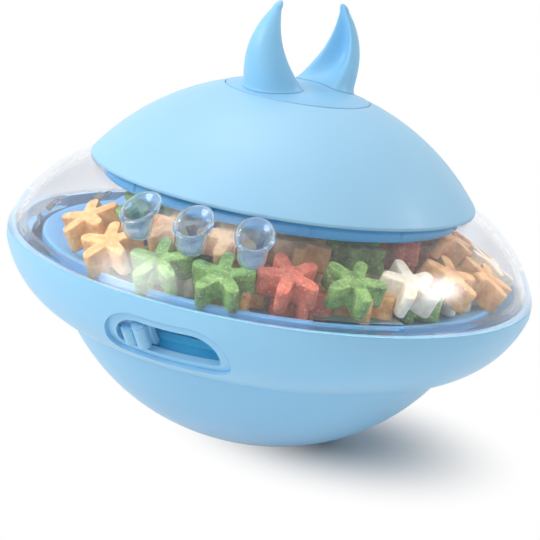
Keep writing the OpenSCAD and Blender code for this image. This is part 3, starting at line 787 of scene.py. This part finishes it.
def place_treats():
    """One piece per colour, made of all treats of that colour that stayed on the heap."""
    starts = heap_start()
    places = settle(starts) if starts else []
    piles = {name: bmesh.new() for name in TREAT_COLOURS}
    star = star_mesh("star", STAR_SIDES, 1.0)
    for (colour, _, _, laid), place in zip(starts, places):
        spot = place.translation / SIM_SCALE
        spot.z -= 0 if laid else SINK * MM
        if not in_chamber(spot):
            continue
        copy = star.copy()
        copy.transform(Matrix.Translation(spot) @ place.to_quaternion().to_matrix().to_4x4())
        if not meets_ring(copy):
            piles[colour].from_mesh(copy)
        bpy.data.meshes.remove(copy)
    for name, pile in piles.items():
        mesh = finished_mesh("treats_" + name, pile)
        if len(mesh.polygons) > 0:
            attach(new_object("treats_" + name, mesh, TREAT_COLOURS[name]), "base")


place_treats()


# Studio: pale floor, white surroundings and soft lamps, in metres and watts

FLOOR_HALF = 4.0
FLOOR_BOUNCE = srgb(244, 244, 244)
# Darker floor colour that the camera sees near the foot: painted shadow that deepens the real one
FLOOR_PAINTED_SHADOW = srgb(196, 195, 195)
# The floor keeps its shadow round this place, and fades to white between the two distances
SHADOW_PLACE = (0.022, 0.008, 0.0)
SHADOW_INNER = 0.004
SHADOW_OUTER = 0.044
AMBIENT = 0.46
# Place, point that it faces, width and power of each lamp
LAMPS = {
    "key": ((-0.42, -0.46, 0.40), (0, 0, 0.05), 0.42, 2.3),
    "top": ((-0.25, 0.05, 0.75), (0, 0, 0.05), 0.5, 1.6),
    "rim": ((0.47, 0.26, 0.44), (0, 0, 0.05), 0.17, 0.75),
    "fill": ((-0.10, -0.62, 0.06), (0, 0, 0.03), 0.4, 0.15),
}
CAMERA_AZ = 19.4
CAMERA_EL = 13.52
CAMERA_ROLL = 9.33
CAMERA_DISTANCE = 0.430
CAMERA_LENS = 125.67
CAMERA_SENSOR = 36.0
CAMERA_SHIFT_X = -0.0022
CAMERA_SHIFT_Y = -0.0275


def seen_directly(tree):
    """1 for what the camera sees straight, in a mirror or through clear plastic, else 0."""
    path = tree.nodes.new("ShaderNodeLightPath")
    total = path.outputs["Is Camera Ray"]
    for name in ("Is Glossy Ray", "Is Transmission Ray"):
        larger = tree.nodes.new("ShaderNodeMath")
        larger.operation = "MAXIMUM"
        tree.links.new(total, larger.inputs[0])
        tree.links.new(path.outputs[name], larger.inputs[1])
        total = larger.outputs["Value"]
    return total


def white_floor():
    """Pale floor that keeps the shadow beside the foot, deepened there by painted shadow in the colour seen
    directly, and turns to plain white further out.
    """
    bm = bmesh.new()
    bmesh.ops.create_grid(bm, x_segments=4, y_segments=4, size=FLOOR_HALF)
    material, tree, bsdf = start_material("floor_white")
    bsdf.inputs["Roughness"].default_value = 0.9
    seen = seen_directly(tree)
    # Painted shadow: what is seen directly takes the darker floor colour, which shows only near the foot
    # before the white takes over
    painted_shadow_tone = tree.nodes.new("ShaderNodeMix")
    painted_shadow_tone.data_type = "RGBA"
    painted_shadow_tone.inputs["A"].default_value = FLOOR_BOUNCE
    painted_shadow_tone.inputs["B"].default_value = FLOOR_PAINTED_SHADOW
    tree.links.new(seen, painted_shadow_tone.inputs["Factor"])
    tree.links.new(painted_shadow_tone.outputs["Result"], bsdf.inputs["Base Color"])
    coords = tree.nodes.new("ShaderNodeTexCoord")
    distance = tree.nodes.new("ShaderNodeVectorMath")
    distance.operation = "DISTANCE"
    distance.inputs[1].default_value = SHADOW_PLACE
    tree.links.new(coords.outputs["Object"], distance.inputs[0])
    fade = tree.nodes.new("ShaderNodeMapRange")
    fade.interpolation_type = "SMOOTHSTEP"
    fade.inputs["From Min"].default_value = SHADOW_INNER
    fade.inputs["From Max"].default_value = SHADOW_OUTER
    tree.links.new(distance.outputs["Value"], fade.inputs["Value"])
    share = tree.nodes.new("ShaderNodeMath")
    share.operation = "MULTIPLY"
    tree.links.new(fade.outputs["Result"], share.inputs[0])
    tree.links.new(seen, share.inputs[1])
    glow = tree.nodes.new("ShaderNodeEmission")
    mix = tree.nodes.new("ShaderNodeMixShader")
    output = tree.nodes["Material Output"]
    tree.links.new(share.outputs["Value"], mix.inputs["Fac"])
    tree.links.new(bsdf.outputs["BSDF"], mix.inputs[1])
    tree.links.new(glow.outputs["Emission"], mix.inputs[2])
    tree.links.new(mix.outputs["Shader"], output.inputs["Surface"])
    new_object("floor", finished_mesh("floor", bm), material)


def studio_world():
    """White surroundings to look at, and a softer level of light from all round."""
    world = bpy.data.worlds.new("studio")
    scene.world = world
    world.use_nodes = True
    tree = world.node_tree
    background = tree.nodes["Background"]
    level = tree.nodes.new("ShaderNodeMapRange")
    level.inputs["To Min"].default_value = AMBIENT
    tree.links.new(seen_directly(tree), level.inputs["Value"])
    tree.links.new(level.outputs["Result"], background.inputs["Strength"])
    background.inputs["Color"].default_value = (1.0, 1.0, 1.0, 1.0)


def area_lamp(name, place, target, size, power):
    lamp = bpy.data.lights.new(name, "AREA")
    lamp.shape = "DISK"
    lamp.size = size
    lamp.energy = power
    holder = bpy.data.objects.new(name, lamp)
    scene.collection.objects.link(holder)
    holder.location = place
    holder.rotation_euler = (Vector(target) - Vector(place)).to_track_quat("-Z", "Y").to_euler()


def photo_camera():
    """Camera at the photograph's viewing angle, which leans to one side."""
    az = math.radians(CAMERA_AZ)
    el = math.radians(CAMERA_EL)
    back = Vector((math.sin(az) * math.cos(el), -math.cos(az) * math.cos(el), math.sin(el)))
    target = Vector((0, 0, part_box("base_shell")[1].z))
    data = bpy.data.cameras.new("camera")
    data.lens = CAMERA_LENS
    data.sensor_width = CAMERA_SENSOR
    data.shift_x = CAMERA_SHIFT_X
    data.shift_y = CAMERA_SHIFT_Y
    data.clip_start = 0.01
    camera = bpy.data.objects.new("camera", data)
    scene.collection.objects.link(camera)
    camera.location = target + CAMERA_DISTANCE * back
    turn = (-back).to_track_quat("-Z", "Y") @ Quaternion((0, 0, 1), math.radians(CAMERA_ROLL))
    camera.rotation_mode = "QUATERNION"
    camera.rotation_quaternion = turn
    scene.camera = camera


white_floor()
studio_world()
photo_camera()
for name, (place, target, size, power) in LAMPS.items():
    area_lamp(name, place, target, size, power)
scene.view_settings.view_transform = "Standard"
